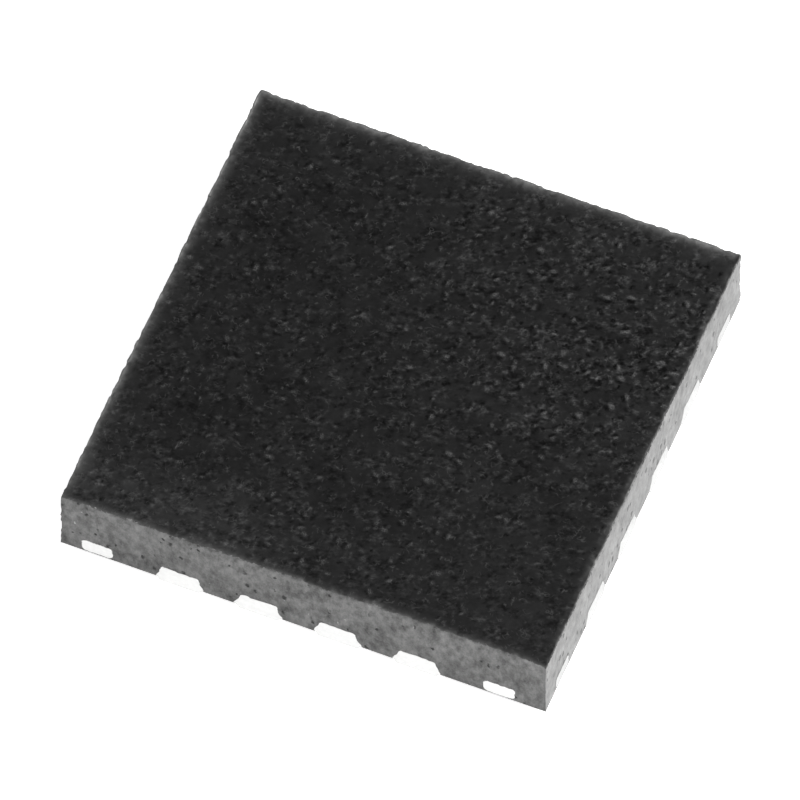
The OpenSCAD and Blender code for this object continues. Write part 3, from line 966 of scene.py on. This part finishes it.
class CHIP_OT_mould_body(bpy.types.Operator):
    """Build the moulded body with its sawn sides"""

    bl_idname = "chip.mould_body"
    bl_label = "Mould body"

    def execute(self, context):
        settings = context.scene.chip_mould
        points, faces, fields = mould_skin(settings)
        piece = new_piece("mould_skin", points, faces, ["mould_body"], mould_finish(settings))
        for name, values in fields.items():
            layer = piece.data.attributes.new(name, "FLOAT", "POINT")
            layer.data.foreach_set("value", values.astype(np.float32))
        return {"FINISHED"}


class CHIP_OT_leads(bpy.types.Operator):
    """Build the leads with their sawn ends"""

    bl_idname = "chip.leads"
    bl_label = "Leads"

    def execute(self, context):
        finish = leadframe_finish(context.scene.chip_metal)
        for name in LEADS:
            points, faces, flat = lead_skin(context.scene.chip_lead, name)
            new_piece(f"{name}_skin", points, faces, [name], finish, flat)
        return {"FINISHED"}


class CHIP_OT_die_paddle(bpy.types.Operator):
    """Finish the die paddle and its tie bars"""

    bl_idname = "chip.die_paddle"
    bl_label = "Die paddle"

    def execute(self, context):
        dress(["die_paddle"], leadframe_finish(context.scene.chip_metal))
        return {"FINISHED"}


class CHIP_OT_inner_pieces(bpy.types.Operator):
    """Finish the die, its adhesive and the bond wires"""

    bl_idname = "chip.inner_pieces"
    bl_label = "Die and bond wires"

    def execute(self, context):
        settings = context.scene.chip_metal
        dress(["die"], silicon_finish(settings))
        dress(["die_adhesive"], adhesive_finish(settings))
        dress(WIRES, gold_finish(settings))
        return {"FINISHED"}


class CHIP_OT_stage(bpy.types.Operator):
    """Set up the floor, the light and the camera"""

    bl_idname = "chip.stage"
    bl_label = "Studio"

    def execute(self, context):
        for set_up in (lay_floor, paint_sky, hang_light, place_camera):
            set_up(context.scene.chip_stage)
        context.scene.view_settings.view_transform = "Standard"
        return {"FINISHED"}


class CHIP_PT_pieces(bpy.types.Panel):
    """Lists the chip's pieces and their settings"""

    bl_idname = "CHIP_PT_pieces"
    bl_label = "Chip"
    bl_space_type = "VIEW_3D"
    bl_region_type = "UI"
    bl_category = "Chip"

    def draw(self, context):
        for operator, settings in PANEL_ROWS:
            self.layout.operator(operator)
            group = getattr(context.scene, settings)
            for key in group.bl_rna.properties.keys():
                if key not in ("rna_type", "name"):
                    self.layout.prop(group, key)


SETTINGS = {
    "chip_mould": MouldSettings, "chip_lead": LeadSettings, "chip_metal": MetalSettings, "chip_stage": StageSettings,
}
CLASSES = (
    CHIP_OT_mould_body, CHIP_OT_leads, CHIP_OT_die_paddle, CHIP_OT_inner_pieces, CHIP_OT_stage, CHIP_PT_pieces,
)
PANEL_ROWS = (
    ("chip.mould_body", "chip_mould"), ("chip.leads", "chip_lead"), ("chip.die_paddle", "chip_metal"),
    ("chip.inner_pieces", "chip_metal"), ("chip.stage", "chip_stage"),
)


def register():
    """Registers the settings on the scene, the operators and the panel."""
    for key, group in SETTINGS.items():
        bpy.utils.register_class(group)
        setattr(bpy.types.Scene, key, bpy.props.PointerProperty(type=group))
    for kind in CLASSES:
        bpy.utils.register_class(kind)


def unregister():
    """Takes back all that register did."""
    for kind in reversed(CLASSES):
        bpy.utils.unregister_class(kind)
    for key, group in reversed(SETTINGS.items()):
        delattr(bpy.types.Scene, key)
        bpy.utils.unregister_class(group)


def main():
    """Builds everything."""
    register()
    bpy.ops.chip.mould_body()
    bpy.ops.chip.leads()
    bpy.ops.chip.die_paddle()
    bpy.ops.chip.inner_pieces()
    bpy.ops.chip.stage()


if __name__ == "__main__":
    main()
